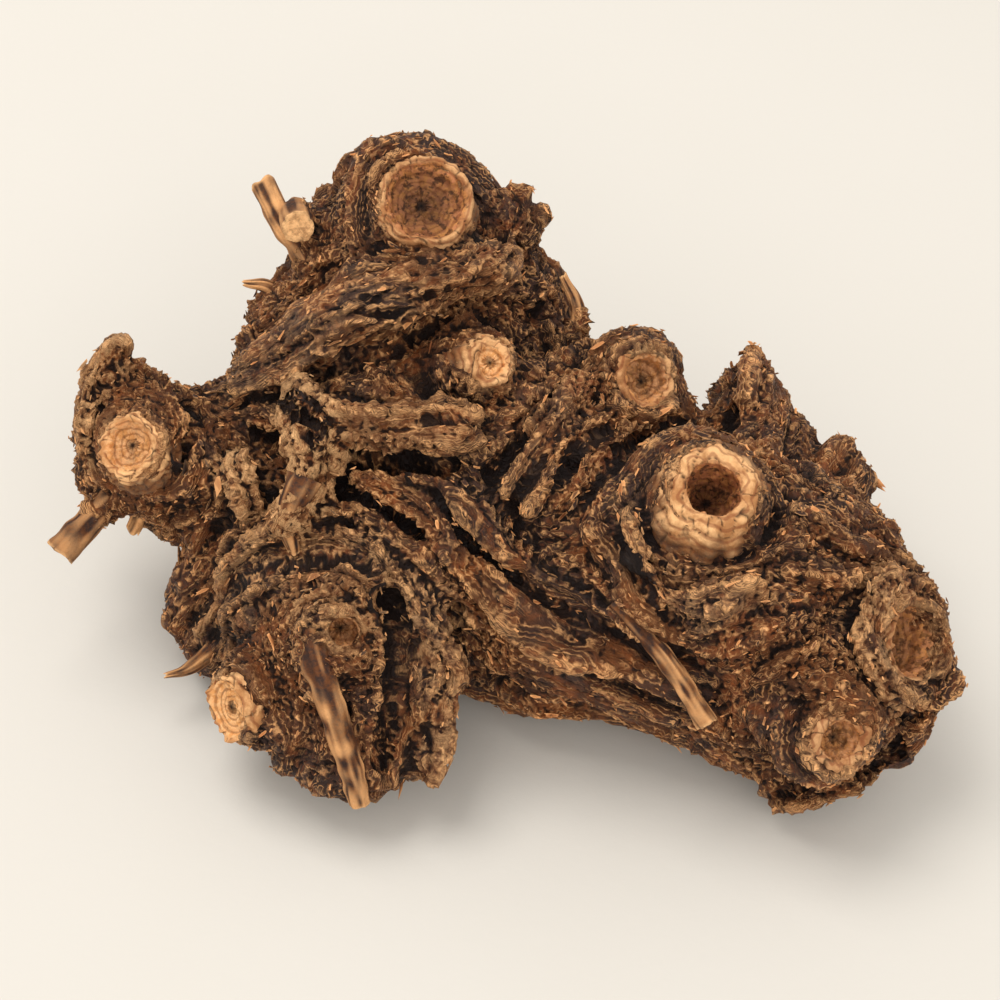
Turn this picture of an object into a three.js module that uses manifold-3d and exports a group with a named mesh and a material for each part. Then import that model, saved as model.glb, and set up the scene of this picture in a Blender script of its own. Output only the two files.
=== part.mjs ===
// A dried bugbane (Actaea) rhizome: one grown, woody solid with stem scars and broken rootlets.
// Millimetres, +Z up. It lies on its three lowest lobes; X runs along its longest extent.
import * as THREE from "three";
import { MarchingCubes } from "three/addons/objects/MarchingCubes.js";
import { mergeVertices } from "three/addons/utils/BufferGeometryUtils.js";
import Module from "manifold-3d";

// ---- driving dimensions ----
const GRID_STEP = 3.5; // spacing of the sampled field
const GRID_CELLS = 42; // cells along each side of the sampled cube
const GRID_CENTRE = new THREE.Vector3(0, 0, 27);
const BLEND = 2.2; // how widely neighbouring limbs flow into each other
const CURVE_STEPS = 4; // straight stretches between two control points of a limb
const REACH = 12; // a limb is felt this far outside its own surface
const RELIEF = 0.9; // height of the gentle lumps on the bark
const LEAST_FIELD = 0.12; // keeps the surface off the grid's own corners
const SCAR_SIDES = 16;
const ROOT_SIDES = 7;
const FLOOR_TRIM = 12; // depth of the block that flattens the resting lobes at z = 0

// Limbs and thick bark strands: [x, y, z, radius] along the middle of each.
const LIMBS = {
  heart: [[-14, 6, 19.5, 17], [2, 1, 18, 17]],
  belly: [[-6, -6, 13, 12.5], [8, -12, 13, 12.5], [20, -17, 13, 12]],
  right: [[-6, 1, 19, 17.5], [12, -8, 19, 17.5], [27, -15, 18, 17.5], [36, -21, 17, 17], [42, -24, 18, 11.5]],
  crown: [[-12, 6, 20, 18], [-13, 16, 29, 16], [-13, 24, 37.5, 13.5], [-11.5, 27.5, 43.5, 10.5]],
  crown_left: [[-14, 8, 20, 13], [-27, 13, 21, 9.5], [-26, 18, 28, 8.5], [-21, 23, 37, 8], [-20, 25, 42, 6]],
  crown_right: [[0, 6, 20, 13], [4, 15, 24, 9.5], [1, 22, 32, 8], [0, 26, 39, 4.5], [1, 28, 44.5, 3.2]],
  left: [[-14, 4, 20, 14], [-28, 3, 21.5, 11], [-38, 2.5, 24, 9], [-46, 3, 26, 7.8]],
  left_spike: [[-47, 4, 28, 7], [-48, 6, 32.5, 5], [-47.5, 8.5, 37, 2.6]],
  left_foot: [[-16, -2, 14, 12.5], [-29, -7, 11.5, 10], [-37, -9.5, 6.5, 7.5]],
  back_foot: [[-8, 10, 15, 13], [-8, 20, 8.5, 9.5]],
  front: [[-14, -4, 17, 14.5], [-19, -14, 15, 13], [-21.5, -22, 13.5, 10.5], [-22, -27, 12.5, 8]],
  front_stub: [[-20, -22, 16, 7], [-26, -25, 14.5, 5.6], [-30, -27, 13.5, 4.8]],
  front_ridge: [[-12, -19, 24, 3.6], [-11, -27, 18, 4], [-11.5, -34, 9.5, 3.2]],
  front_tip: [[-20, -24, 12, 9], [-16.5, -32, 9, 5.6], [-16.5, -35, 7.5, 3.4]],
  back_knob: [[8, 0, 22, 11], [14, 5.5, 28, 7.5], [18, 9, 31.5, 5.4]],
  back_fin: [[28, -6, 20, 11], [32, 6, 22, 7], [32, 14.5, 24, 4.6]],
  back_fin_small: [[38, -12, 20, 9], [43, 0, 21, 4.6], [44, 4.5, 22, 3]],
  crown_strand: [[-2, 18, 45, 3.4], [-12, 10.5, 45, 4.2], [-21, 8, 41.5, 4.4], [-30.5, 7.5, 34, 4]],
  middle_root: [[-23, 1, 36, 3.6], [-21.5, -4, 37, 3.8], [-24, -8.5, 34.5, 3.2], [-26, -13, 30.5, 2.4]],
  middle_strand: [[-30, 4, 33, 3.2], [-22, -1, 36, 3.8], [-13, -5, 37.5, 3.6], [-5, -5, 38, 4]],
  saddle_strand: [[17, 8, 35.5, 3], [10, 3.5, 36.5, 3.4], [5, -5, 37, 3.2], [1, -12, 35, 2.6]],
  swirl_strand: [[-13, -9, 34, 2.8], [-5, -14, 32, 3], [2, -20, 27.5, 3], [13, -28, 23, 2.6]],
  fold: [[-36, -16, 11, 2.8], [-33, -14, 20, 3], [-25, -14.5, 26, 3.2], [-16, -17.5, 27.5, 3], [-11, -21, 22, 2.6]],
  end_rim: [[47, -15, 28, 2.6], [53, -21.5, 26, 2.8], [52, -27, 18.5, 2.8], [46.5, -31, 11, 3]],
  end_lip: [[40, -33, 8, 5], [37, -36, 5, 3]],
};

// Stem scars: where a stem broke off. The cup is sunk into a collar whose foot spreads on the bark.
// at: middle of the rim; axis: out of the cup.
const SCARS = [
  { at: [-9.6, 21.2, 53.4], axis: [0.15, -0.45, 0.88], rim: 6.4, foot: 7.6, cup: 4.7, depth: 5 }, // crown
  { at: [25.6, -16.2, 40.4], axis: [0.1, -0.38, 0.92], rim: 6.4, foot: 9.5, cup: 3.7, depth: 6 }, // big cone
  { at: [-46.1, -5, 36.2], axis: [-0.25, -0.55, 0.8], rim: 4.7, foot: 7, cup: 3.1, depth: 2 }, // left limb
  { at: [-0.8, 3, 42.4], axis: [0.45, -0.5, 0.75], rim: 3.6, foot: 5.6, cup: 2, depth: 1.5 }, // middle
  { at: [18.8, 5.2, 37], axis: [0.35, -0.55, 0.75], rim: 4.2, foot: 4.8, cup: 3, depth: 2.4 }, // back knob
  { at: [50.6, -27.3, 24.6], axis: [0.74, -0.45, 0.5], rim: 5.4, foot: 6.4, cup: 4.5, depth: 5 }, // right end
  { at: [40.4, -40, 21.5], axis: [0.25, -0.75, 0.6], rim: 3.4, foot: 4.6, cup: 1.6, depth: 2.5 }, // right end, low
  { at: [-34, -29.8, 14.4], axis: [-0.74, -0.6, 0.3], rim: 4.6, foot: 5.4, cup: 3.7, depth: 1 }, // front stub
  { at: [-18.9, -26.6, 26], axis: [0.25, -0.7, 0.67], rim: 2.8, foot: 3.6, cup: 1.9, depth: 2 }, // front, small
];
const COLLAR_SINK = 5; // how deep a collar's foot is set into the wood below its rim

// Broken rootlets: points along each, then its radius.
const ROOTLETS = [
  { points: [[-23, 18, 43], [-27.6, 22.2, 47.6], [-30.5, 28.2, 49.4]], radius: 1.5 }, // crown, long
  { points: [[-25, 26, 43], [-26, 23, 48.4], [-25.4, 19, 50.4]], radius: 1.9 }, // crown, short
  { points: [[-26, 18, 33], [-29.5, 20.5, 38], [-33.3, 21, 38.8]], radius: 0.9 }, // crown, spur
  { points: [[-46, 0, 26], [-50.8, -4.6, 23.8], [-56, -9, 20]], radius: 1.8 }, // left limb, long
  { points: [[-44, 0, 24], [-46.3, -2.5, 20.5], [-47.6, -4.2, 18.6]], radius: 1.2 }, // left limb, short
  { points: [[8, 12, 30], [10.2, 17, 36.6], [8.2, 21.6, 39.6]], radius: 0.9 }, // crown, right
  { points: [[-23, -28, 22], [-20.4, -34, 20.5], [-17.3, -38.6, 8]], radius: 1.6 }, // front
  { points: [[-24, -9, 34], [-26, -13, 31.5], [-25.6, -16, 28.5]], radius: 1.6 }, // middle
  { points: [[16, -26, 28], [20, -32, 25], [24.6, -36, 20]], radius: 1.4 }, // trunk
];

const BARK = { color: 0x4a3426, roughness: 0.85, metalness: 0 };

// ---- the blended body ----

// A limb as a chain of straight stretches, each a pair of [x, y, z, radius].
function stretchesOf(points) {
  const middle = new THREE.CatmullRomCurve3(points.map(([x, y, z]) => new THREE.Vector3(x, y, z)), false, "catmullrom");
  const steps = (points.length - 1) * CURVE_STEPS;
  const radiusAt = (t) => {
    const place = t * (points.length - 1);
    const i = Math.min(Math.floor(place), points.length - 2);
    return THREE.MathUtils.lerp(points[i][3], points[i + 1][3], place - i);
  };
  const stations = Array.from({ length: steps + 1 }, (_, i) => ({
    at: middle.getPoint(i / steps),
    radius: radiusAt(i / steps),
  }));
  return stations.slice(1).map((end, i) => ({ start: stations[i], end, along: end.at.clone().sub(stations[i].at) }));
}

const offset = new THREE.Vector3();

// Distance from a point to the surface of a limb, negative inside.
function limbDistance(p, stretches) {
  let least = Infinity;
  for (const { start, end, along } of stretches) {
    offset.subVectors(p, start.at);
    const t = THREE.MathUtils.clamp(offset.dot(along) / along.lengthSq(), 0, 1);
    offset.addScaledVector(along, -t);
    least = Math.min(least, offset.length() - THREE.MathUtils.lerp(start.radius, end.radius, t));
  }
  return least;
}

// The gentle lumps of the bark.
function relief({ x, y, z }) {
  return (
    RELIEF *
    (Math.sin(x / 3.7 + 1.3 * Math.sin(y / 5.1)) * Math.sin(y / 4.3 + 1.7) +
      Math.sin(z / 3.9 + x / 7.3) * Math.sin(y / 6.1 - z / 8.7))
  );
}

// How far a point lies inside the blended body.
function bodyField(p, limbs) {
  let sum = 0;
  for (const stretches of limbs) {
    const d = limbDistance(p, stretches);
    if (d < REACH) sum += Math.exp(-d / BLEND);
  }
  return sum > 0 ? BLEND * Math.log(sum) + relief(p) : -REACH;
}

// A geometry's surface as a manifold-3d solid.
function solidOf(wasm, geometry) {
  const bare = new THREE.BufferGeometry().setAttribute("position", geometry.getAttribute("position"));
  if (geometry.index) bare.setIndex(geometry.index);
  const merged = mergeVertices(bare, 1e-3);
  return new wasm.Manifold(
    new wasm.Mesh({
      numProp: 3,
      vertProperties: merged.attributes.position.array,
      triVerts: new Uint32Array(merged.index.array),
    }),
  );
}

function blendedBody(wasm) {
  const limbs = Object.values(LIMBS).map(stretchesOf);
  const cubes = new MarchingCubes(GRID_CELLS, undefined, false, false, 20000);
  cubes.isolation = 0;
  const half = GRID_CELLS / 2;
  const p = new THREE.Vector3();
  for (let k = 0, q = 0; k < GRID_CELLS; k++)
    for (let j = 0; j < GRID_CELLS; j++)
      for (let i = 0; i < GRID_CELLS; i++, q++) {
        p.set(i - half, j - half, k - half).multiplyScalar(GRID_STEP).add(GRID_CENTRE);
        const value = bodyField(p, limbs);
        cubes.field[q] = Math.abs(value) < LEAST_FIELD ? Math.sign(value || 1) * LEAST_FIELD : value;
      }
  cubes.update();
  const drawn = cubes.positionArray.slice(0, cubes.count * 3);
  const surface = new THREE.BufferGeometry().setAttribute("position", new THREE.BufferAttribute(drawn, 3));
  surface.scale(half * GRID_STEP, half * GRID_STEP, half * GRID_STEP);
  surface.translate(...GRID_CENTRE);
  return solidOf(wasm, surface);
}

// ---- scars and rootlets ----

// Turns a lathe's +Y to the scar's axis and moves its origin to the rim's middle.
function setOnAxis(geometry, { at, axis }) {
  const turn = new THREE.Quaternion().setFromUnitVectors(
    new THREE.Vector3(0, 1, 0),
    new THREE.Vector3(...axis).normalize(),
  );
  return geometry.applyQuaternion(turn).translate(...at);
}

// The raised ring round a scar: a low cone with a rounded rim.
function collar(scar) {
  const profile = new THREE.Path()
    .moveTo(0, -COLLAR_SINK)
    .lineTo(scar.foot, -COLLAR_SINK)
    .quadraticCurveTo(scar.rim, -COLLAR_SINK * 0.5, scar.rim, -0.8)
    .quadraticCurveTo(scar.rim, 0, scar.rim - 0.8, 0)
    .lineTo(0, 0);
  return setOnAxis(new THREE.LatheGeometry(profile.getPoints(2), SCAR_SIDES), scar);
}

// What is taken out of the collar: a cup with a rounded bottom.
function cup(scar) {
  const profile = new THREE.Path()
    .moveTo(0, -scar.depth)
    .quadraticCurveTo(scar.cup * 0.85, -scar.depth * 0.9, scar.cup * 0.9, -scar.depth * 0.3)
    .lineTo(scar.cup, 0)
    .lineTo(scar.cup, 2)
    .lineTo(0, 2);
  return setOnAxis(new THREE.LatheGeometry(profile.getPoints(3), SCAR_SIDES), scar);
}

// A broken rootlet, as a tube along its bend.
function rootlet({ points, radius }) {
  const section = new THREE.Shape().absarc(0, 0, radius, 0, 2 * Math.PI);
  const bend = new THREE.CatmullRomCurve3(points.map((p) => new THREE.Vector3(...p)));
  return new THREE.ExtrudeGeometry(section, {
    curveSegments: Math.ceil(ROOT_SIDES / 2),
    steps: 6,
    extrudePath: bend,
  });
}

// ---- assembly ----

async function rhizomeSolid() {
  const wasm = await Module();
  wasm.setup();
  let solid = blendedBody(wasm);
  for (const scar of SCARS) solid = solid.add(solidOf(wasm, collar(scar)));
  for (const scar of SCARS) solid = solid.subtract(solidOf(wasm, cup(scar)));
  for (const root of ROOTLETS) solid = solid.add(solidOf(wasm, rootlet(root)));
  const floor = new THREE.BoxGeometry(200, 200, FLOOR_TRIM).translate(0, 0, -FLOOR_TRIM / 2);
  return solid.subtract(solidOf(wasm, floor)).getMesh();
}

function geometryOf(mesh) {
  return new THREE.BufferGeometry()
    .setAttribute("position", new THREE.BufferAttribute(mesh.vertProperties, 3))
    .setIndex(new THREE.BufferAttribute(mesh.triVerts, 1));
}

// The origin goes to the middle of the base of the whole part's box.
function centredOnBase(geometry) {
  geometry.computeBoundingBox();
  const { min, max } = geometry.boundingBox;
  return geometry.translate(-(min.x + max.x) / 2, -(min.y + max.y) / 2, -min.z);
}

const rhizome = new THREE.Mesh(
  centredOnBase(geometryOf(await rhizomeSolid())),
  new THREE.MeshStandardMaterial(BARK),
);
rhizome.name = "rhizome";

const part = new THREE.Group();
part.add(rhizome);
export default part;
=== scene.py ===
"""A dried bugbane rhizome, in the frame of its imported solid: one grown, dark, flaking piece of wood
with hollow stem scars and broken rootlets.

The skeleton below is in millimetres, in the skeleton's own coordinates. BASE is where the middle of
the base of the solid's box lies in them, so taking BASE away gives the frame.
"""
import math

import bpy
import numpy as np
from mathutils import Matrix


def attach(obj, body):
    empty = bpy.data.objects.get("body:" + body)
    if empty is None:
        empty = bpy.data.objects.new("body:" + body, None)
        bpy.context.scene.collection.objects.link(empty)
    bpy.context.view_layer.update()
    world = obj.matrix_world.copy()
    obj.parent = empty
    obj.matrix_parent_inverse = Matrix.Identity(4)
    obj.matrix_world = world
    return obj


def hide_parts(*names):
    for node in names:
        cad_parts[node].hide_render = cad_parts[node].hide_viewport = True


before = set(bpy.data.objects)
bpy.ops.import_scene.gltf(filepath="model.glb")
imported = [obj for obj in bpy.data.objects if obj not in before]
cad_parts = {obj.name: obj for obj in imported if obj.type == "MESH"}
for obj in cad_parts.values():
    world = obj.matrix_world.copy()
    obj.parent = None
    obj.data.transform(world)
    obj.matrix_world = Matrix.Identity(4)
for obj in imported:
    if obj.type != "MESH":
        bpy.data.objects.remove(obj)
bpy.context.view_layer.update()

import openvdb
from mathutils import Vector
from mathutils.kdtree import KDTree

MM = 0.001
BASE = np.array([-0.756, -1.349, 0.0], np.float32)
COARSE = 1.0  # spacing of the blended body's field
FINE = 0.44  # spacing of the bark's field
LOW = np.array([-65.0, -48.0, -3.0], np.float32)
HIGH = np.array([64.0, 46.0, 63.0], np.float32)
BLEND = 2.2
REACH = 12.0
BAND = 6.0  # the bark is worked out this far either side of the blended body's surface

LIMBS = {
    "heart": [(-14, 6, 19.5, 17), (2, 1, 18, 17)],
    "belly": [(-6, -6, 13, 12.5), (8, -12, 13, 12.5), (20, -17, 13, 12)],
    "right": [(-6, 1, 19, 17.5), (12, -8, 19, 17.5), (27, -15, 18, 17.5), (36, -21, 17, 17), (42, -24, 18, 11.5)],
    "crown": [(-12, 6, 20, 18), (-13, 16, 29, 16), (-13, 24, 37.5, 13.5), (-11.5, 27.5, 43.5, 10.5)],
    "crown_left": [(-14, 8, 20, 13), (-27, 13, 21, 9.5), (-26, 18, 28, 8.5), (-21, 23, 37, 8), (-20, 25, 42, 6)],
    "crown_right": [(0, 6, 20, 13), (4, 15, 24, 9.5), (1, 22, 32, 8), (0, 26, 39, 4.5), (1, 28, 44.5, 3.2)],
    "left": [(-14, 4, 20, 14), (-28, 3, 21.5, 11), (-38, 2.5, 24, 9), (-46, 3, 26, 7.8)],
    "left_spike": [(-47, 4, 28, 7), (-48, 6, 32.5, 5), (-47.5, 8.5, 37, 2.6)],
    "left_foot": [(-16, -2, 14, 12.5), (-29, -7, 11.5, 10), (-37, -9.5, 6.5, 7.5)],
    "back_foot": [(-8, 10, 15, 13), (-8, 20, 8.5, 9.5)],
    "front": [(-14, -4, 17, 14.5), (-19, -14, 15, 13), (-21.5, -22, 13.5, 10.5), (-22, -27, 12.5, 8)],
    "front_stub": [(-20, -22, 16, 7), (-26, -25, 14.5, 5.6), (-30, -27, 13.5, 4.8)],
    "front_ridge": [(-12, -19, 24, 3.6), (-11, -27, 18, 4), (-11.5, -34, 9.5, 3.2)],
    "front_tip": [(-20, -24, 12, 9), (-16.5, -32, 9, 5.6), (-16.5, -35, 7.5, 3.4)],
    "back_knob": [(8, 0, 22, 11), (14, 5.5, 28, 7.5), (18, 9, 31.5, 5.4)],
    "back_fin": [(28, -6, 20, 11), (32, 6, 22, 7), (32, 14.5, 24, 4.6)],
    "back_fin_small": [(38, -12, 20, 9), (43, 0, 21, 4.6), (44, 4.5, 22, 3)],
    "end_lip": [(40, -33, 8, 5), (37, -36, 5, 3)],
}

# Thinner strands of bark that lie on the limbs: (x, y, z, radius) along each.
STRANDS = {
    "crown_slab": [(-1, 19, 45, 2.6), (-6, 14, 46.5, 3.6), (-13, 10, 45.6, 4), (-21, 8, 41.5, 4.2), (-31, 7.5, 34, 3.6)],
    "crown_slab_2": [(-8, 20, 47, 2), (-16, 14, 45, 2.6), (-24, 11, 40, 2.6), (-31, 11, 32, 2)],
    "middle_root": [(-23, 1, 37, 3.4), (-21.5, -4, 37.4, 3.8), (-24, -8.5, 35, 3.2), (-26, -13, 31, 2.2)],
    "middle_arm": [(-22, -2, 37, 3), (-13, -5, 38.4, 3.2), (-5, -5, 38.6, 3.4)],
    "middle_lump": [(-33, -4, 29.5, 2.6), (-31, -6, 27, 2)],
    "left_crest": [(-51.5, -1, 31, 1.6), (-51, 4, 35, 2), (-48.6, 8, 39, 1.6)],
    "under_middle": [(-30, 4, 33, 3), (-22, -1, 35.5, 3)],
    "saddle_1": [(17, 8, 35.8, 2.6), (10, 3.5, 37.2, 2.6), (5, -5, 38, 2.4), (1, -12, 36, 1.8)],
    "saddle_2": [(15, 2, 36.4, 1.8), (8, -6, 37.4, 2), (3, -14, 34.6, 1.6)],
    "saddle_3": [(22, 3, 35, 1.4), (14, -4, 37, 1.6), (9, -12, 36, 1.4)],
    "swirl_1": [(-16, -9, 34, 2.2), (-9, -13, 32.4, 2.4), (-3, -19, 27.6, 2.4), (7, -26, 22.6, 2), (17, -30, 20.4, 1.4)],
    "swirl_2": [(-12, -8, 36, 2.2), (-4, -13, 34, 2.2), (2, -19, 30.4, 2.2), (12, -25, 27, 1.8), (22, -30, 25, 1.2)],
    "swirl_3": [(-16, -13, 30, 1.6), (-8, -19, 27, 1.8), (0, -24, 22, 1.6), (10, -28, 18, 1.2)],
    "fold_1": [(-38, -15, 11, 1.8), (-33, -13.6, 21, 2.6), (-25, -14, 27.4, 2.8), (-16, -17, 28.6, 2.6), (-10.6, -21, 22, 2)],
    "fold_2": [(-35.5, -17, 9, 1.6), (-30.5, -18.6, 22, 2), (-23.5, -18.6, 26.4, 2.4), (-17, -20.6, 26.4, 2.2), (-12.6, -24.6, 21, 1.8)],
    "fold_3": [(-37, -10.5, 14, 1.4), (-32, -10, 25, 1.8), (-25, -10.4, 29.4, 1.8), (-15, -14, 31.6, 1.8), (-8, -19.6, 25, 1.4)],
    "front_cap": [(-22.5, -23, 25, 2), (-19, -25, 27, 2.2), (-15.5, -25.4, 26, 1.6)],
    "front_wall": [(-12, -20, 24, 2.2), (-10.6, -27, 18, 2.8), (-11.2, -34, 9.6, 2.2)],
    "front_wall_2": [(-16, -24, 24, 1.4), (-14.4, -30, 17, 1.8), (-14.6, -35.6, 9, 1.4)],
    "scar_fold": [(15.5, -17.6, 36.4, 1.4), (17.6, -23.4, 33, 1.9), (24, -27.6, 31.6, 1.9), (31.5, -26.4, 33.2, 1.4)],
    "scar_fold_2": [(14, -21, 33.4, 1.2), (18, -27.6, 29.4, 1.6), (24, -30, 28.6, 1.4), (29, -29, 30.6, 1)],
    "flap": [(29.5, -19.6, 36, 1.4), (34.5, -23.4, 34, 1.6), (41, -23.6, 31.4, 1.5)],
    "flap_2": [(33, -14, 36, 1.2), (40, -17.6, 33.6, 1.5), (47, -19, 28.8, 1.4)],
    "end_rim": [(46, -14.6, 29, 1.8), (51.4, -19.4, 28.4, 2), (54.6, -24.4, 24, 2), (53, -28, 18.6, 2.2), (47, -31.6, 12, 2.4)],
    "end_sheath": [(49.6, -21.4, 30.6, 1.5), (45.8, -24.6, 31.4, 1.9), (44.2, -29, 28.4, 2), (45.2, -32.4, 24, 2), (49.2, -33, 19.6, 1.5)],
    "lip": [(47, -32, 12, 2.4), (41, -37, 9.4, 2.4), (37, -37, 6, 2)],
    "back_fin_crest": [(29, 3, 29, 1.6), (32, 9, 28.6, 2), (33, 16, 26.6, 1.6)],
    "back_side_1": [(-22, 29, 34, 2), (-16, 35, 26, 2.4), (-12, 33, 14, 2.4), (-9, 30, 6, 2)],
    "back_side_2": [(-4, 34, 36, 1.8), (2, 29, 26, 2.2), (8, 20, 16, 2.2), (14, 12, 8, 2)],
    "back_side_3": [(12, 14, 24, 1.8), (24, 6, 22, 2), (34, 0, 14, 2), (44, -6, 10, 1.6)],
    "left_back": [(-46, 9, 30, 1.6), (-36, 12, 24, 2), (-28, 21, 20, 2), (-20, 28, 14, 1.8)],
}

# How far a strand stands off the limb, as a share of its radius, and how pale its wood is.
PROUD = {"middle_root": 0.9, "middle_arm": 0.5, "middle_lump": 0.7, "crown_slab": 0.4, "left_crest": 0.1, "end_rim": 0.3, "end_sheath": 0.4}
PALE = {"middle_root": 0.9, "middle_lump": 0.75, "middle_arm": 0.25, "fold_1": 0.4, "fold_2": 0.2, "front_cap": 0.5, "left_crest": 0.7, "end_sheath": 0.45, "front_wall": 0.4, "crown_slab": 0.15, "saddle_1": 0.15, "scar_fold": 0.25}

# Deep, dark creases between the strands.
CREASES = {
    "under_slab": [(0, 15, 45, 1), (-7, 11.4, 44.6, 1.5), (-15, 5.4, 42, 1.7), (-20, 3.4, 39, 1.4), (-27, 4.6, 36, 1)],
    "left_pocket": [(-37, 9, 32, 1.1), (-32.6, 11.6, 32, 1.5), (-30, 13, 30, 1.1)],
    "crown_gap": [(-1, 22.6, 46, 1.6), (-1.6, 24, 51, 1.9)],
    "crown_gap_2": [(5, 18, 36, 1.2), (3, 21, 40, 1.6), (3, 23, 44, 1.2)],
    "under_middle_root": [(-19, -8.6, 35, 1.1), (-13, -8.4, 36.4, 1.6), (-6, -9, 36.6, 1.4)],
    "saddle_gap": [(8, 5.4, 36.4, 1), (2.6, -3, 39, 1.4), (-1, -9.4, 37, 1.2)],
    "front_split": [(-13.6, -22.6, 26, 1.2), (-13.6, -28.6, 19, 1.7), (-14, -35.6, 12, 1.4)],
    "front_notch": [(-8.4, -18, 22, 1.6), (-7.4, -22, 14, 2.2), (-8, -25, 6, 2)],
    "end_gap": [(47.6, -24.6, 30, 1), (46.4, -28.6, 27.4, 1.4), (48, -31.6, 22, 1.6), (50.4, -32.4, 17, 1.6)],
    "end_gap_2": [(38, -37.6, 15, 1.3), (43, -38, 14, 1.6), (48, -34.6, 13, 1.6)],
    "knob_gap": [(24, 2, 33, 1.4), (27.4, -1, 32.6, 1.6), (29, 4.6, 28, 1.8)],
    "fin_gap": [(36, -2, 29, 1.4), (38.6, 0, 26, 1.6)],
    "scar_gap": [(16, -22, 35, 0.9), (20.6, -25.4, 34, 1.2), (27, -25.4, 34, 1)],
    "left_crease": [(-40, -3.6, 31.6, 1), (-38.4, -1, 33, 1.2), (-39, 3.6, 33.4, 1)],
}

# Stem scars. at: middle of the rim; axis: out of the cup. Kinds set the inside's look.
SCARS = {
    "crown": dict(at=(-9.6, 21.2, 53.2), axis=(0.15, -0.45, 0.88), rim=6.1, foot=7.0, cup=5.2, depth=2.6, sink=5, tone=0.3, pale=0.6, bare=0.0),
    "big": dict(at=(25.6, -16.2, 40.4), axis=(0.1, -0.38, 0.92), rim=5.3, foot=8.0, cup=3.4, depth=6.5, sink=5, tone=0.25, pale=0.85, bare=0.3),
    "left": dict(at=(-46.1, -5, 36.0), axis=(-0.25, -0.55, 0.8), rim=4.0, foot=5.4, cup=3.2, depth=1.5, sink=5, tone=0.8, pale=0.9, bare=0.35),
    "middle": dict(at=(-0.8, 3, 42.4), axis=(0.45, -0.5, 0.75), rim=3.1, foot=4.6, cup=2.1, depth=1.0, sink=5, tone=0.95, pale=0.75, bare=0.25),
    "knob": dict(at=(18.8, 5.2, 37), axis=(0.35, -0.55, 0.75), rim=4.4, foot=5, cup=3.1, depth=2.4, sink=4, tone=0.6, pale=0.6, bare=0.1),
    "end": dict(at=(50.6, -27.3, 24.6), axis=(0.74, -0.45, 0.5), rim=5.5, foot=6, cup=4.7, depth=4.4, sink=4, tone=0.42, pale=0.45, bare=0.1),
    "end_low": dict(at=(40.4, -40, 21.5), axis=(0.25, -0.75, 0.6), rim=3.8, foot=4.8, cup=2.5, depth=2.2, sink=4, tone=0.55, pale=0.4, bare=0.25),
    "stub": dict(at=(-34, -29.8, 14.4), axis=(-0.74, -0.6, 0.3), rim=4.3, foot=5.2, cup=3.8, depth=0.9, sink=4, tone=0.95, pale=0.9, bare=0.4),
    "front": dict(at=(-18.9, -26.6, 26), axis=(0.25, -0.7, 0.67), rim=2.9, foot=3.6, cup=2, depth=2.2, sink=3, tone=0.55, pale=0.55, bare=0.1),
}

# Broken rootlets: (x, y, z, radius) along each, and how pale its wood is.
ROOTLETS = {
    "crown_long": ([(-23, 17, 42, 1.7), (-25.4, 20, 45.5, 1.5), (-27.6, 22.2, 47.6, 1.4), (-30.5, 28.2, 49.4, 1.6)], 0.8),
    "crown_short": ([(-25.6, 27.6, 43, 2.2), (-26.2, 24, 48, 1.9), (-25.4, 19, 50.4, 2)], 0.75),
    "crown_spur": ([(-26, 18, 33, 1.8), (-29.5, 20.5, 38, 1), (-33.3, 21, 38.8, 0.4)], 0.8),
    "left_long": ([(-46, 0, 26, 1.9), (-50.8, -4.6, 23.8, 1.5), (-56, -9, 20, 2)], 0.45),
    "left_short": ([(-44, 0, 24, 1.4), (-46.3, -2.5, 20.5, 1.1), (-47.6, -4.2, 18.6, 0.9)], 0.9),
    "crown_right": ([(8, 12, 30, 1.4), (10.2, 17, 36.6, 0.9), (8.2, 21.6, 39.6, 0.5)], 0.6),
    "front": ([(-23.4, -26, 25, 2), (-20.8, -33, 21.5, 1.7), (-18.2, -37.6, 13, 1.5), (-17.3, -38.4, 7, 1.3)], 0.7),
    "middle": ([(-24, -9, 34, 2.2), (-26, -13, 31, 1.5), (-25.4, -15.6, 27.6, 0.7)], 0.6),
    "trunk": ([(14, -25, 29.5, 0.9), (20, -31.4, 26, 1.1), (24.8, -36, 20, 1.3)], 0.7),
    "foot_spur": ([(-36, -15, 9, 1.4), (-40, -18, 7.6, 0.8), (-43, -19.4, 7.8, 0.3)], 0.7),
}


# ---------------------------------------------------------------- noise and fields
LATTICES = {}


def noise(p, cell, seed):
    """Smooth noise from -1 to 1 with features about a cell across."""
    if seed not in LATTICES:
        LATTICES[seed] = np.random.default_rng(seed).uniform(-1, 1, 64**3).astype(np.float32)
    table = LATTICES[seed]
    q = p / np.float32(cell)
    i = np.floor(q)
    f = (q - i).astype(np.float32)
    f = f * f * (3 - 2 * f)
    i = i.astype(np.int32) & 63
    j = (i + 1) & 63
    x0, y0, z0 = i[:, 0] * 4096, i[:, 1] * 64, i[:, 2]
    x1, y1, z1 = j[:, 0] * 4096, j[:, 1] * 64, j[:, 2]
    fx, fy, fz = f[:, 0], f[:, 1], f[:, 2]
    a = table[x0 + y0 + z0] * (1 - fz) + table[x0 + y0 + z1] * fz
    b = table[x0 + y1 + z0] * (1 - fz) + table[x0 + y1 + z1] * fz
    c = table[x1 + y0 + z0] * (1 - fz) + table[x1 + y0 + z1] * fz
    d = table[x1 + y1 + z0] * (1 - fz) + table[x1 + y1 + z1] * fz
    return (a * (1 - fy) + b * fy) * (1 - fx) + (c * (1 - fy) + d * fy) * fx


def warp(p, cell, amount, seed):
    """Points moved about by noise."""
    return p + amount * np.stack([noise(p, cell, seed + k) for k in range(3)], 1)


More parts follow.
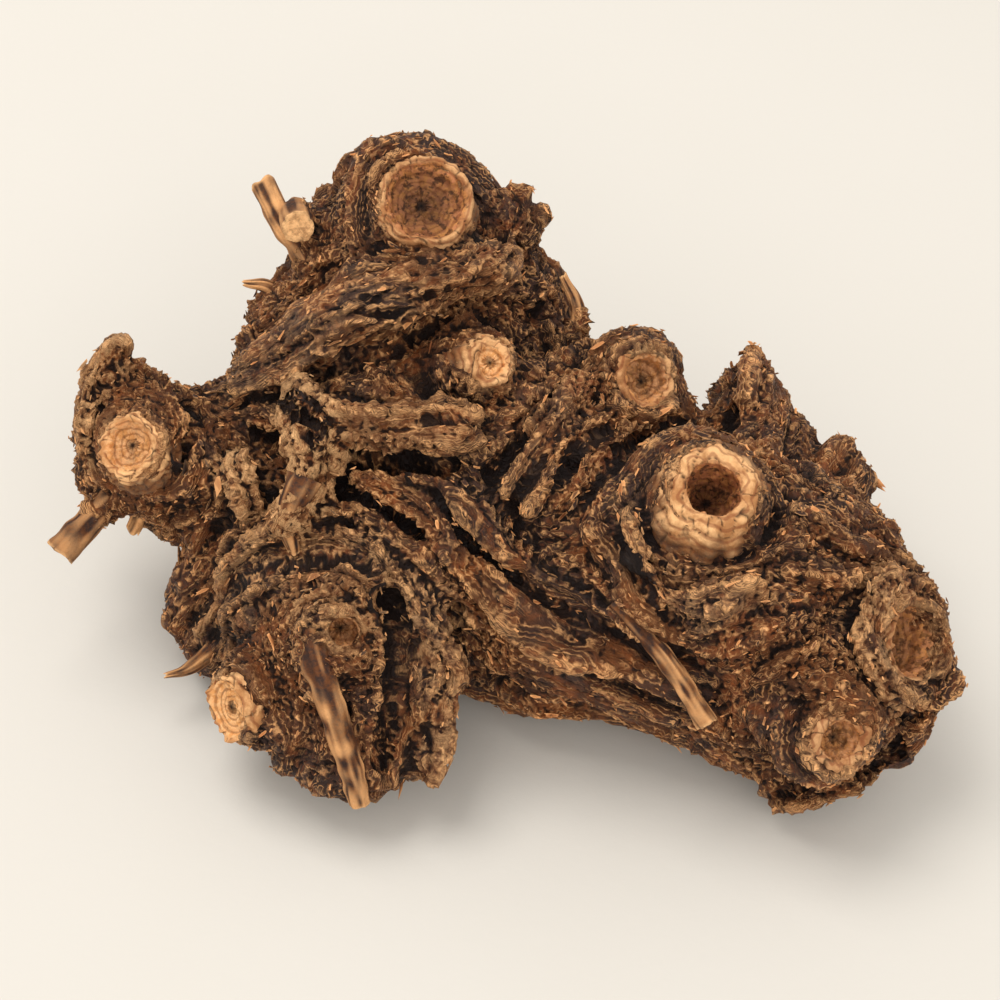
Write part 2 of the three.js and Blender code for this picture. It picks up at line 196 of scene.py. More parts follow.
def smooth_step(x, low, high):
    t = np.clip((x - low) / (high - low), 0, 1)
    return t * t * (3 - 2 * t)


def catmull(points, steps=4):
    """A smooth curve through the points, as stations with radii interpolated evenly."""
    pts = np.array(points, np.float32)
    ends = np.vstack([2 * pts[0] - pts[1], pts, 2 * pts[-1] - pts[-2]])
    out = []
    for k in range(len(pts) - 1):
        a, b, c, d = ends[k : k + 4]
        for s in range(steps):
            t = s / steps
            q = 0.5 * (2 * b + (c - a) * t + (2 * a - 5 * b + 4 * c - d) * t * t + (3 * b - a - 3 * c + d) * t**3)
            q[3] = b[3] + (c[3] - b[3]) * t
            out.append(q)
    out.append(pts[-1])
    return np.array(out, np.float32)


def chain_distance(p, points, twist=None):
    """Distance from points to a tapered chain; with a twist, the bark's direction there too."""
    stations = points if isinstance(points, np.ndarray) else catmull(points)
    best = np.full(len(p), 1e9, np.float32)
    lay = np.zeros((len(p), 3), np.float32) if twist is not None else None
    for a, b in zip(stations[:-1], stations[1:]):
        d = b[:3] - a[:3]
        rel = p - a[:3]
        t = np.clip(rel @ d / (d @ d), 0, 1)
        off = rel - t[:, None] * d
        r = np.sqrt((off * off).sum(1))
        dist = r - (a[3] + (b[3] - a[3]) * t)
        nearer = dist < best
        best = np.where(nearer, dist, best)
        if lay is not None:
            u = d / np.linalg.norm(d)
            around = np.cross(np.broadcast_to(u, off.shape), off / np.maximum(r, 1e-6)[:, None])
            lay[nearer] = (math.cos(twist) * u + math.sin(twist) * around)[nearer]
    return (best, lay) if lay is not None else best


def near(p, points, margin):
    """Which points lie in the box round a chain."""
    pts = np.array(points, np.float32)
    low = (pts[:, :3] - pts[:, 3:4]).min(0) - margin
    high = (pts[:, :3] + pts[:, 3:4]).max(0) + margin
    return np.flatnonzero(np.all((p > low) & (p < high), 1))


def grid_points(step):
    axes = [np.arange(LOW[k], HIGH[k] + step, step, dtype=np.float32) for k in range(3)]
    return np.stack(np.meshgrid(*axes, indexing="ij"), -1)


def relief(p):
    x, y, z = p[:, 0], p[:, 1], p[:, 2]
    return 0.9 * (
        np.sin(x / 3.7 + 1.3 * np.sin(y / 5.1)) * np.sin(y / 4.3 + 1.7)
        + np.sin(z / 3.9 + x / 7.3) * np.sin(y / 6.1 - z / 8.7)
    )


TWISTS = {"front": 1.35, "front_stub": 0.3, "front_tip": 0.2, "front_ridge": 0, "right": 0.5, "belly": 0.35, "heart": 0.5, "crown": 0.25}


def blended_body():
    """The field of the joined limbs, negative inside."""
    shape = grid_points(COARSE).shape[:3]
    p = grid_points(COARSE).reshape(-1, 3)
    total = np.zeros(len(p), np.float32)
    for points in LIMBS.values():
        at = near(p, points, REACH)
        d = chain_distance(p[at], points)
        total[at] += np.where(d < REACH, np.exp(-d / BLEND), 0)
    field = np.full(len(p), REACH, np.float32)
    some = total > 0
    field[some] = -BLEND * np.log(total[some]) - relief(p[some])
    return field.reshape(shape)


LAY_STEP = 2.0


def bark_direction(body):
    """A unit direction for each cell of a coarse grid: along the limbs and strands, and round the scars."""
    cells = grid_points(LAY_STEP)
    p = cells.reshape(-1, 3)
    tensor = np.zeros((len(p), 3, 3), np.float32)
    for name, points in LIMBS.items():
        at = near(p, points, REACH)
        d, u = chain_distance(p[at], points, TWISTS.get(name, 0.15))
        weight = np.exp(-np.clip(d, -20, 20) / 2.6)
        tensor[at] += weight[:, None, None] * u[:, :, None] * u[:, None, :]
    for name, points in STRANDS.items():
        chain = snapped(points, body, PROUD.get(name, 0.0))
        at = near(p, chain, 5)
        d, u = chain_distance(p[at], chain, 0.0)
        weight = 400 * np.exp(-np.clip(d, 0, 20) / 1.2)
        tensor[at] += weight[:, None, None] * u[:, :, None] * u[:, None, :]
    for scar in SCARS.values():
        r, h, u = scar_polar(p, scar)
        weight = 4000 * np.exp(-np.clip(r - scar["foot"], 0, 50) / 1.4) * (np.abs(h) < 9) * (r < scar["foot"] + 9)
        tensor += weight[:, None, None] * u[:, :, None] * u[:, None, :]
    tensor += 1e-6 * np.eye(3, dtype=np.float32)
    lay = np.linalg.eigh(tensor)[1][:, :, 2]
    return lay.reshape(cells.shape).astype(np.float32)


def scar_axes(scar):
    z = np.array(scar["axis"], np.float64)
    z /= np.linalg.norm(z)
    x = np.cross([0, 1, 0.3], z)
    x /= np.linalg.norm(x)
    return x, np.cross(z, x), z


def scar_polar(p, scar):
    """Distance from a scar's axis, height above its rim, and the direction round it."""
    z = scar_axes(scar)[2].astype(np.float32)
    rel = p - np.array(scar["at"], np.float32)
    h = rel @ z
    flat = rel - h[:, None] * z
    r = np.sqrt((flat * flat).sum(1))
    return r, h, np.cross(np.broadcast_to(z, flat.shape), flat / np.maximum(r, 1e-6)[:, None])


def sample(grid, step, p):
    """A field's value between its grid points."""
    q = np.clip((p - LOW) / step, 0, np.array(grid.shape[:3]) - 1.001).astype(np.float32)
    i = q.astype(np.int32)
    f = q - i
    _, ny, nz = grid.shape[:3]
    flat = grid.reshape(-1)
    base = (i[:, 0] * ny + i[:, 1]) * nz + i[:, 2]
    fx, fy, fz = f[:, 0], f[:, 1], f[:, 2]
    dx, dy = ny * nz, nz
    a = flat[base] * (1 - fz) + flat[base + 1] * fz
    b = flat[base + dy] * (1 - fz) + flat[base + dy + 1] * fz
    c = flat[base + dx] * (1 - fz) + flat[base + dx + 1] * fz
    d = flat[base + dx + dy] * (1 - fz) + flat[base + dx + dy + 1] * fz
    return (a * (1 - fy) + b * fy) * (1 - fx) + (c * (1 - fy) + d * fy) * fx


def lay_at(lay, p):
    q = np.clip(np.rint((p - LOW) / LAY_STEP).astype(np.int32), 0, np.array(lay.shape[:3]) - 1)
    return lay[q[:, 0], q[:, 1], q[:, 2]]


def snapped(points, body, proud):
    """A chain moved onto the body's surface, with its middle stood off by a share of its radius."""
    stations = catmull(points, 5)
    q = stations[:, :3].copy()
    steps = 0.8 * np.eye(3, dtype=np.float32)
    for _ in range(5):
        f = sample(body, COARSE, q)
        slope = np.stack([(sample(body, COARSE, q + s) - sample(body, COARSE, q - s)) / 1.6 for s in steps], 1)
        slope /= np.maximum(np.linalg.norm(slope, axis=1), 0.2)[:, None]
        q = q - np.clip(f, -3, 3)[:, None] * slope
    out = stations.copy()
    out[:, :3] = q + slope * (proud * stations[:, 3:])
    return out


def smooth_union(a, b, k):
    h = np.clip(0.5 + 0.5 * (b - a) / k, 0, 1)
    return b + (a - b) * h - k * h * (1 - h)


def bark_field(body):
    """The fine field: the body bent by noise, with its strands, creases, scars' seats and rootlets."""
    cells = grid_points(FINE)
    shape = cells.shape[:3]
    flat = cells.reshape(-1, 3)
    q = np.rint((flat - LOW) / COARSE).astype(np.int32)
    q = np.minimum(q, np.array(body.shape) - 1)
    rough = body[q[:, 0], q[:, 1], q[:, 2]]
    out = np.sign(rough) * BAND
    band = np.flatnonzero(np.abs(rough) < BAND)
    p = flat[band]
    bent = warp(warp(p, 15.0, 0.9, 11), 6.0, 0.6, 21)
    f = sample(body, COARSE, bent)
    ragged = warp(p, 4.2, 0.7, 31)
    ripple = 0.16 * noise(p, 2.2, 41)
    for name, points in STRANDS.items():
        chain = snapped(points, body, PROUD.get(name, 0.0))
        at = near(p, chain, 3)
        d = chain_distance(ragged[at], chain) + ripple[at]
        f[at] = smooth_union(f[at], d, 0.8)
    for scar in SCARS.values():
        r, h, _ = scar_polar(p, scar)
        at = np.flatnonzero((r < scar["foot"] + 3) & (np.abs(h) < 8))
        down = np.clip(-h[at] / scar["sink"], 0, 1)
        slope = scar["rim"] + (scar["foot"] - scar["rim"]) * down**1.3 + 1.1 * down
        cone = np.maximum(r[at] - slope + scar["bare"] - 0.55, h[at] + 0.7)
        f[at] = smooth_union(f[at], cone + 0.4 * ripple[at], 1.6)
        well = np.maximum(r[at] - scar["rim"] + 0.9, -(h[at] + scar["depth"] + 0.8))
        f[at] = np.maximum(f[at], -well)
    for points, _ in ROOTLETS.values():
        points = points[:2] + [(*points[2][:3], points[2][3] * 0.6)] if len(points) > 2 else points
        at = near(p, points[:2], 3)
        f[at] = smooth_union(f[at], chain_distance(ragged[at], points[:2]), 1.4)
    for points in CREASES.values():
        chain = snapped(points, body, 0.2)
        at = near(p, chain, 3)
        d = chain_distance(ragged[at], chain)
        f[at] = -smooth_union(-f[at], d, 0.7)
    out[band] = f
    out = np.maximum(out, 0.02 - flat[:, 2])
    return out.reshape(shape).astype(np.float32)


# ---------------------------------------------------------------- mesh arrays
def normals_of(v, faces):
    t = v[faces]
    n = np.cross(t[:, 2] - t[:, 0], t[:, 3] - t[:, 1]) if faces.shape[1] == 4 else np.cross(t[:, 1] - t[:, 0], t[:, 2] - t[:, 0])
    out = np.stack([np.bincount(faces.ravel(), np.repeat(n[:, k], faces.shape[1]), len(v)) for k in range(3)], 1)
    return (out / np.maximum(np.linalg.norm(out, axis=1), 1e-9)[:, None]).astype(np.float32)


def edges_of(faces):
    e = np.vstack([faces[:, [k, (k + 1) % faces.shape[1]]] for k in range(faces.shape[1])])
    return np.unique(np.sort(e, 1), axis=0)


def largest_part(v, faces):
    """The mesh's largest connected part: points and faces."""
    edges = edges_of(faces)
    label = np.arange(len(v))
    while True:
        ends = label[edges]
        low = ends.min(1)
        joined_up = label.copy()
        np.minimum.at(joined_up, ends[:, 0], low)
        np.minimum.at(joined_up, ends[:, 1], low)
        joined_up = joined_up[joined_up]
        if np.array_equal(joined_up, label):
            break
        label = joined_up
    keep = label == np.bincount(label).argmax()
    number = np.cumsum(keep) - 1
    return v[keep], number[faces[keep[faces[:, 0]]]]


def smoothed(values, edges, rounds):
    """Values averaged with their neighbours', round after round."""
    v = np.atleast_2d(values.T).T.astype(np.float64)
    n = len(v)
    count = np.bincount(edges.ravel(), minlength=n)[:, None]
    for _ in range(rounds):
        total = np.stack(
            [np.bincount(edges[:, 0], v[edges[:, 1], k], n) + np.bincount(edges[:, 1], v[edges[:, 0], k], n) for k in range(v.shape[1])],
            1,
        )
        v = 0.4 * v + 0.6 * total / count
    return v.astype(np.float32).reshape(values.shape)


def streaks(p, lay, cell, length, seed):
    """Noise drawn out along the bark's direction, with spread 1."""
    step = cell * 0.75
    total = noise(p, cell, seed)
    for sign in (1, -1):
        q = p
        last = sign * lay_at(lay, q)
        for _ in range(max(2, int(length / step / 2))):
            q = q + last * step
            total = total + noise(q, cell, seed)
            v = lay_at(lay, q)
            last = v * np.where((v * last).sum(1) < 0, -1, 1)[:, None]
    return ((total - total.mean()) / total.std()).astype(np.float32)


def spread(x):
    return (x - x.mean()) / x.std()


def new_piece(name, v, faces, attributes, smooth=True):
    """A mesh piece from skeleton coordinates, riding on the root."""
    mesh = bpy.data.meshes.new(name)
    mesh.from_pydata(((v - BASE) * MM).tolist(), [], faces.tolist())
    for key, values in attributes.items():
        mesh.attributes.new(key, "FLOAT", "POINT").data.foreach_set("value", np.asarray(values, np.float32))
    mesh.polygons.foreach_set("use_smooth", [smooth] * len(mesh.polygons))
    piece = bpy.data.objects.new(name, mesh)
    bpy.context.scene.collection.objects.link(piece)
    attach(piece, "root")
    return piece


# ---------------------------------------------------------------- the bark
LOWEST_SHEET = -2.62
SHEET_STEP = 0.56
SHEETS = 10


def layered(p, lay, scale, seed):
    """Overlapping sheets of bark: height in millimetres, and 1 along their torn edges."""
    run = streaks(p, lay, 1.9 * scale, 26 * scale, seed) + 0.22 * noise(p, 2.6 * scale, seed + 1) + 0.07 * noise(p, 1.0, seed + 2)
    height = np.zeros(len(p), np.float32)
    edge = np.zeros(len(p), np.float32)
    for level in LOWEST_SHEET + SHEET_STEP * np.arange(SHEETS):
        x = run - level
        height += 0.27 * smooth_step(x, -0.12, 0.2)
        lip = np.exp(-(((x - 0.2) / 0.2) ** 2))
        height += 0.24 * lip
        edge = np.maximum(edge, lip)
    return height * scale, edge, run


def bark(body, lay):
    field = bark_field(body)
    grid = openvdb.FloatGrid(50.0)
    grid.copyFromArray(field)
    points, quads = grid.convertToQuads(0.0)
    v = (points * FINE + LOW).astype(np.float32)
    v, faces = largest_part(v, quads.astype(np.int64))
    edges = edges_of(faces)
    v = smoothed(v, edges, 1)
    n = normals_of(v, faces)
    calm = np.zeros(len(v), np.float32)
    pale = np.zeros(len(v), np.float32)
    for scar in SCARS.values():
        r, h, _ = scar_polar(v, scar)
        reach = np.exp(-((np.clip(r - scar["rim"] + 1 - scar["bare"], 0, 50) / (0.8 + scar["bare"])) ** 2)) * (np.abs(h) < 7)
        calm = np.maximum(calm, reach)
        pale = np.maximum(pale, reach * scar["pale"])
    for name, share in PALE.items():
        chain = snapped(STRANDS[name], body, PROUD.get(name, 0.0))
        at = near(v, chain, 3)
        d = np.clip(chain_distance(v[at], chain), 0, 9)
        pale[at] = np.maximum(pale[at], share * np.exp(-((d / 1.3) ** 2)))
    folds = streaks(v, lay, 4.6, 34, 51)
    fold_height = 1.1 * (np.abs(folds + 0.25 * noise(v, 3, 52)) ** 0.7 - 0.75)
    wide, wide_edge, wide_run = layered(v, lay, 1.0, 61)
    small, small_edge, small_run = layered(v, lay, 0.7, 71)
    lumps = 0.4 * noise(v, 5, 81) + 0.08 * noise(v, 2.1, 82)
    grain = streaks(v, lay, 0.8, 7, 91)
    rough = smooth_step(noise(v, 9, 84), -0.45, 0.35)
    height = fold_height + 1.2 * (wide - wide.mean()) + (0.15 + 0.3 * rough) * (small - small.mean()) + lumps + 0.08 * grain
    height = height - height.mean() - 0.35
    on_floor = smooth_step(v[:, 2], 0.3, 2.5)
    steady = smooth_step(np.linalg.norm(smoothed(n, edges, 6), axis=1), 0.35, 0.75)
    height = 2.0 * np.tanh(height / 2.0) * (1 - 0.75 * calm) * on_floor * (0.15 + 0.85 * steady)
    v = v + n * height[:, None]
    v[:, 2] = np.maximum(v[:, 2], 0.02)
    n = normals_of(v, faces)
    # near_hollow and wide_hollow, kept as the crest and height attributes, say how far each point stands above or
    # sinks below its near and wider neighbours. The bark's colour paints shade from their negative side and, in part,
    # a highlight from their positive side.
    near_hollow = ((v - smoothed(v, edges, 6)) * n).sum(1)
    wide_hollow = ((v - smoothed(v, edges, 50)) * n).sum(1)
    attributes = {
        "crest": np.clip(near_hollow / 0.16, -2, 2),
        "height": np.clip(wide_hollow / 0.9, -2, 2),
        "edge": np.clip(0.95 * wide_edge + (0.2 + 0.6 * rough) * small_edge, 0, 1.3),
        "grain": grain,
        "run": wide_run,
        "fine_run": small_run,
        "pale": np.clip(pale, 0, 1),
    }
    return v, faces, n, attributes


def thinned(piece, target, keep):
    """Fewer triangles, fewest where keep is low; the attributes are read again from the full mesh."""
    mesh = piece.data
    full = {a.name: np.empty(len(mesh.vertices), np.float32) for a in mesh.attributes if a.data_type == "FLOAT"}
    for key, values in full.items():
        mesh.attributes[key].data.foreach_get("value", values)
    places = np.empty(len(mesh.vertices) * 3, np.float32)
    mesh.vertices.foreach_get("co", places)
    tree = KDTree(len(mesh.vertices))
    for k, co in enumerate(places.reshape(-1, 3).tolist()):
        tree.insert(co, k)
    tree.balance()
    group = piece.vertex_groups.new(name="keep")
    level = np.clip(np.rint(keep * 4), 0, 4).astype(int)
    for step in range(5):
        group.add(np.flatnonzero(level == step).tolist(), 1 - step / 4, "REPLACE")
    shrink = piece.modifiers.new("fewer", "DECIMATE")
    shrink.ratio = target / sum(len(f.vertices) - 2 for f in mesh.polygons)
    shrink.vertex_group = "keep"
    shrink.vertex_group_factor = 0.6
    shrink.use_collapse_triangulate = True
    evaluated = piece.evaluated_get(bpy.context.evaluated_depsgraph_get())
    small = bpy.data.meshes.new_from_object(evaluated)
    piece.modifiers.clear()
    piece.vertex_groups.clear()
    piece.data = small
    bpy.data.meshes.remove(mesh)
    nearest = np.array([tree.find(w.co)[1] for w in small.vertices])
    places = np.empty((len(small.vertices), 3), np.float32)
    small.vertices.foreach_get("co", places.ravel())
    places[:, 2] = np.maximum(places[:, 2], 0.02 * MM)
    small.vertices.foreach_set("co", places.ravel())
    for key, values in full.items():
        if key not in small.attributes:
            small.attributes.new(key, "FLOAT", "POINT")
        small.attributes[key].data.foreach_set("value", values[nearest])
    return piece


# ---------------------------------------------------------------- flakes
def flakes(name, v, faces, n, lay, attributes, count, size, seed, lift):
    """Small curled chips of bark that stand off the torn edges, laid along the bark."""
    rng = np.random.default_rng(seed)
    a, b, c = v[faces[:, 0]], v[faces[:, 1]], v[faces[:, 2]]
    area = np.linalg.norm(np.cross(b - a, c - a), axis=1)
    mid = a
    want = area * (0.12 + attributes["edge"][faces[:, 0]] ** 2) * (1 - 0.9 * attributes["pale"][faces[:, 0]])
    want = want * (v[faces[:, 0], 2] > 1.5) * (1 + 0.8 * (n[faces[:, 0], 2] > -0.2))
    pick = rng.choice(len(faces), count, p=want / want.sum())
    centre = mid[pick] + rng.normal(0, 0.12, (count, 3))
    up = n[faces[pick, 0]] + rng.normal(0, 0.28, (count, 3))
    up /= np.linalg.norm(up, axis=1)[:, None]
    along = lay_at(lay, centre.astype(np.float32)) + rng.normal(0, 0.25, (count, 3))
    along -= (along * up).sum(1)[:, None] * up
    along /= np.linalg.norm(along, axis=1)[:, None]
    across = np.cross(up, along)
    length = size * np.clip(rng.lognormal(0, 0.35, count), 0.4, 2)
    width = length * rng.uniform(0.12, 0.38, count)
    curl = rng.uniform(0.1, 0.9, count) * rng.choice([1, 1, 1, -0.6], count)
    tilt = rng.uniform(0.05, lift, count) * rng.choice([-1, 1], count)
    grid = [(i, j) for i in (-1, 0, 1) for j in (-1, 0, 1)]
    local = np.zeros((count, 10, 3))
    for k, (i, j) in enumerate(grid):
        x = i * 0.5 + (rng.normal(0, 0.11, count) if (i, j) != (0, 0) else 0)
        y = j * 0.5 + rng.normal(0, 0.1, count) - 0.12 * abs(i) * j
        local[:, k, 0] = x
        local[:, k, 1] = y
        local[:, k, 2] = curl * (y * y * 1.6) + 0.35 * curl * x * x + tilt * y * 1.4 + rng.normal(0, 0.05, count)
    local[:, 9, 2] = -0.16
    reach = local[:, :, :1] * length[:, None, None] * along[:, None] + local[:, :, 1:2] * width[:, None, None] * across[:, None]
    rise = local[:, :, 2:] * width[:, None, None] * up[:, None]
    pts = centre[:, None] + reach + rise + 0.1 * up[:, None]
    pts[:, 9] = centre + 0.02 * up - 0.12 * up
    order = {g: k for k, g in enumerate(grid)}
    tops = []
    for i in (-1, 0):
        for j in (-1, 0):
            p0, p1, p2, p3 = order[i, j], order[i + 1, j], order[i + 1, j + 1], order[i, j + 1]
            tops += [(p0, p1, p2), (p0, p2, p3)]
    ring = [order[g] for g in ((-1, -1), (0, -1), (1, -1), (1, 0), (1, 1), (0, 1), (-1, 1), (-1, 0))]
    under = [(ring[(k + 1) % 8], ring[k], 9) for k in range(8)]
    pattern = np.array(tops + under)
    tris = (pattern[None] + 10 * np.arange(count)[:, None, None]).reshape(-1, 3)
    rim = np.tile([0 if g == (0, 0) else 1.0 for g in grid] + [0.3], count)
    tone = np.repeat(rng.uniform(0, 1, count), 10)
    pts = pts.reshape(-1, 3)
    pts[:, 2] = np.maximum(pts[:, 2], 0.05)
    # The bark's height under each flake, for the flakes' painted shade and highlight.
    high = np.repeat(attributes["height"][faces[pick, 0]], 10)
    pale = np.repeat(attributes["pale"][faces[pick, 0]], 10)
    return new_piece(name, pts.astype(np.float32), tris, {"rim": rim, "tone": tone, "height": high, "pale": pale}, smooth=False)


# ---------------------------------------------------------------- scars
def stem_scar(scar, seed):
    """One scar as a turned ring with cracked, uneven rings: points, faces and attributes."""
    around, rows = ((170, 54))
    rim, foot, cup, depth, sink = (scar[k] for k in ("rim", "foot", "cup", "depth", "sink"))
    mid = (rim + cup) / 2
    profile = np.array(
        [
            (0.05, -depth),
            (cup * 0.45, -depth * 0.97),
            (cup * 0.8, -depth * 0.78),
            (cup * 0.95, -depth * 0.35),
            (cup * 1.02, -0.25),
            (mid, 0.05),
            (rim * 0.98, -0.35),
            (rim + (foot - rim) * 0.25, -sink * 0.3),
            (rim + (foot - rim) * 0.62, -sink * 0.62),
            (foot, -sink),
            (foot * 0.7, -sink - 1.2),
            (0.05, -sink - 1.6 - max(0, depth - sink)),
        ]
    )
    gaps = np.r_[0, np.cumsum(np.linalg.norm(np.diff(profile, axis=0), axis=1))]
    closing = gaps[9]
    s = np.r_[np.linspace(0, closing, rows), gaps[10], gaps[11]]
    r = np.interp(s, gaps, profile[:, 0])
    h = np.interp(s, gaps, profile[:, 1])
    theta = np.linspace(0, 2 * math.pi, around, endpoint=False)
    R, T = np.meshgrid(r, theta, indexing="ij")
    Hh = np.repeat(h[:, None], around, 1)
    S = np.repeat((s / closing)[:, None], around, 1)
    x, y, z = scar_axes(scar)
    ring = np.stack([np.cos(T) * 6 + seed * 9.1, np.sin(T) * 6, S * 2.2], -1).reshape(-1, 3).astype(np.float32)
    oval = 1 + 0.06 * np.cos(T + seed) + 0.07 * noise(ring, 2.4, 7).reshape(R.shape)
    inside = smooth_step(gaps[4] / closing - S, -0.02, 0.06)
    outside = smooth_step(S, gaps[6] / closing - 0.03, gaps[6] / closing + 0.1)
    lip = 1 - np.maximum(inside, outside)
    start = gaps[6] / closing + scar["bare"] * 0.62 * (1 - gaps[6] / closing)
    hold = smooth_step(1.0 - S, 0.0, 0.06)
    bend = 0.5 * noise(ring, 1.8, 8).reshape(R.shape)
    rings = np.sin((S * closing) * 2 * math.pi / 1.5 + bend * 11)
    place = np.stack([np.cos(T) * R, np.sin(T) * R, Hh + seed * 5.0], -1).reshape(-1, 3).astype(np.float32)
    cracks = np.exp(-((noise(place, 1.5, 9).reshape(R.shape)) / 0.07) ** 2)
    growth = np.sin(R * 2 * math.pi / 0.85 + 2.6 * noise(place, 1.7, 20).reshape(R.shape)) * inside
    core = np.exp(-((R / (0.16 * cup)) ** 2)) * inside
    pit = noise(place, 0.9, 10).reshape(R.shape) + 0.6 * noise(place, 0.45, 21).reshape(R.shape)
    push = 0.1 * rings * (0.4 + 0.6 * outside + 0.4 * lip) + 0.22 * noise(place, 1.2, 22).reshape(R.shape) * outside - 0.28 * cracks * (lip + 0.6 * outside) + (0.16 + 0.3 * min(depth, 4) / 4) * pit * (0.3 + inside) + 0.09 * growth - 0.5 * core
    push = (push + 0.3 * noise(ring, 1.0, 12).reshape(R.shape)) * hold * smooth_step(S, 0.0, 0.05)
    R2 = R * oval + push * (0.5 + 0.5 * outside) * np.where(inside > 0.5, -1, 1)
    H2 = Hh + push * (0.7 - 0.4 * outside) + 0.9 * noise(ring, 3.2, 13).reshape(R.shape) * lip
    pts = np.array(scar["at"]) + R2[..., None] * (np.cos(T)[..., None] * x + np.sin(T)[..., None] * y) + H2[..., None] * z
    pts = pts.reshape(-1, 3)
    count = rows + 2
    i, j = np.meshgrid(np.arange(count - 1), np.arange(around), indexing="ij")
    jn = (j + 1) % around
    quads = np.stack([i * around + j, i * around + jn, (i + 1) * around + jn, (i + 1) * around + j], -1).reshape(-1, 4)
    tris = np.vstack([quads[:, [0, 2, 1]], quads[:, [0, 3, 2]]])
    first, last = len(pts), len(pts) + 1
    pts = np.vstack([pts, pts[:around].mean(0), pts[-around:].mean(0)])
    ends = np.arange(around)
    after = (ends + 1) % around
    low = (count - 1) * around
    tris = np.vstack([tris, np.stack([np.full(around, first), ends, after], 1)[:, [0, 2, 1]], np.stack([np.full(around, last), low + after, low + ends], 1)[:, [0, 2, 1]]])
    pts[:, 2] = np.maximum(pts[:, 2], 0.05)

    def pad(a):
        return np.r_[a.ravel(), a.ravel()[0], a.ravel()[-1]]

    attributes = {
        "inside": pad(inside),
        "outer": pad(smooth_step(S + 0.12 * noise(ring, 1.4, 19).reshape(S.shape), start, start + 0.2)),
        "rings": pad(np.where(inside > 0.5, growth, rings)),
        "core": pad(core),
        "cracks": pad(cracks * (lip + 0.7 * outside + 0.35 * inside)),
        # deep: how far down the cup a point lies, used for painted shade in the hollow.
        "deep": pad(np.clip(-Hh / max(depth, 0.1), 0, 1) * inside),
        "tone": np.full(len(pts), scar["tone"]),
        "pale": np.full(len(pts), scar["pale"]),
    }
    return pts.astype(np.float32), tris[:, ::-1], attributes


# ---------------------------------------------------------------- rootlets
def rootlet(points, pale, seed):
    """A broken rootlet: a fibrous, ridged stalk with a torn end."""
    around, rows = 44, 70
    stations = catmull(points, 12)
    s = np.r_[0, np.cumsum(np.linalg.norm(np.diff(stations[:, :3], axis=0), axis=1))]
    even = np.linspace(0, s[-1], rows)
    line = np.stack([np.interp(even, s, stations[:, k]) for k in range(4)], 1)
    tangent = np.gradient(line[:, :3], axis=0)
    tangent /= np.linalg.norm(tangent, axis=1)[:, None]
    side = np.cross(tangent[0], [0.3, 0.2, 1.0])
    sides = []
    for t in tangent:
        side = side - (side @ t) * t
        side = side / np.linalg.norm(side)
        sides.append(side)
    sides = np.array(sides)
    other = np.cross(tangent, sides)
    theta = np.linspace(0, 2 * math.pi, around, endpoint=False)
    L, T = np.meshgrid(even, theta, indexing="ij")
    q = np.stack([np.cos(T) * 2.0 + seed * 7.7, np.sin(T) * 2.0, L * 0.12], -1).reshape(-1, 3).astype(np.float32)
    fibre = noise(q, 0.55, 14).reshape(L.shape)
    bump = noise(q * [0.6, 0.6, 5.0], 1.0, 15).reshape(L.shape)
    crumb = noise(q * [0.7, 0.7, 4.0], 0.8, 16).reshape(L.shape)
    r = line[:, 3:4] * (1.05 + 0.1 * fibre + 0.14 * bump + 0.06 * crumb)
    torn = 0.4 * noise(q * [1, 1, 0], 1.2, 17).reshape(L.shape) * smooth_step(L, even[-1] - 1.6, even[-1])
    pts = (
        line[:, None, :3]
        + r[..., None] * (np.cos(T)[..., None] * sides[:, None] + np.sin(T)[..., None] * other[:, None])
        + torn[..., None] * tangent[:, None]
    ).reshape(-1, 3)
    i, j = np.meshgrid(np.arange(rows - 1), np.arange(around), indexing="ij")
    jn = (j + 1) % around
    tris = np.stack([i * around + j, i * around + jn, (i + 1) * around + jn, (i + 1) * around + j], -1).reshape(-1, 4)
    tris = np.vstack([tris[:, [0, 1, 2]], tris[:, [0, 2, 3]]])
    ring2 = len(pts)
    end = pts[-around:]
    middle = end.mean(0)
    inner = middle + (end - middle) * 0.55 - 0.45 * tangent[-1] + 0.2 * noise(end.astype(np.float32), 0.5, 18)[:, None] * tangent[-1]
    pts = np.vstack([pts, inner, middle - 0.3 * tangent[-1], line[0, :3]])
    ends = np.arange(around)
    after = (ends + 1) % around
    last = (rows - 1) * around
    tip, root = len(pts) - 2, len(pts) - 1
    tris = np.vstack(
        [
            tris,
            np.stack([last + ends, last + after, ring2 + after], 1),
            np.stack([last + ends, ring2 + after, ring2 + ends], 1),
            np.stack([ring2 + ends, ring2 + after, np.full(around, tip)], 1),
            np.stack([after, ends, np.full(around, root)], 1),
        ]
    )
    far = np.r_[(L / even[-1]).ravel(), np.ones(around), 1, 0]
    cut = np.r_[smooth_step(L, even[-1] - 0.4, even[-1]).ravel(), np.ones(around), 1, 0]
    fib = np.r_[(fibre + 0.7 * crumb).ravel(), np.zeros(around + 2)]
    pts[:, 2] = np.maximum(pts[:, 2], 0.05)
    attributes = {"far": far, "cut": cut, "fibre": fib, "pale": np.full(len(pts), pale)}
    return pts.astype(np.float32), tris, attributes


def joined(parts):
    """Several meshes' arrays as one."""
    start, v, f, keys = 0, [], [], parts[0][2].keys()
    for points, tris, _ in parts:
        v.append(points)
        f.append(tris + start)
        start += len(points)
    return np.vstack(v), np.vstack(f), {k: np.concatenate([part[2][k] for part in parts]) for k in keys}


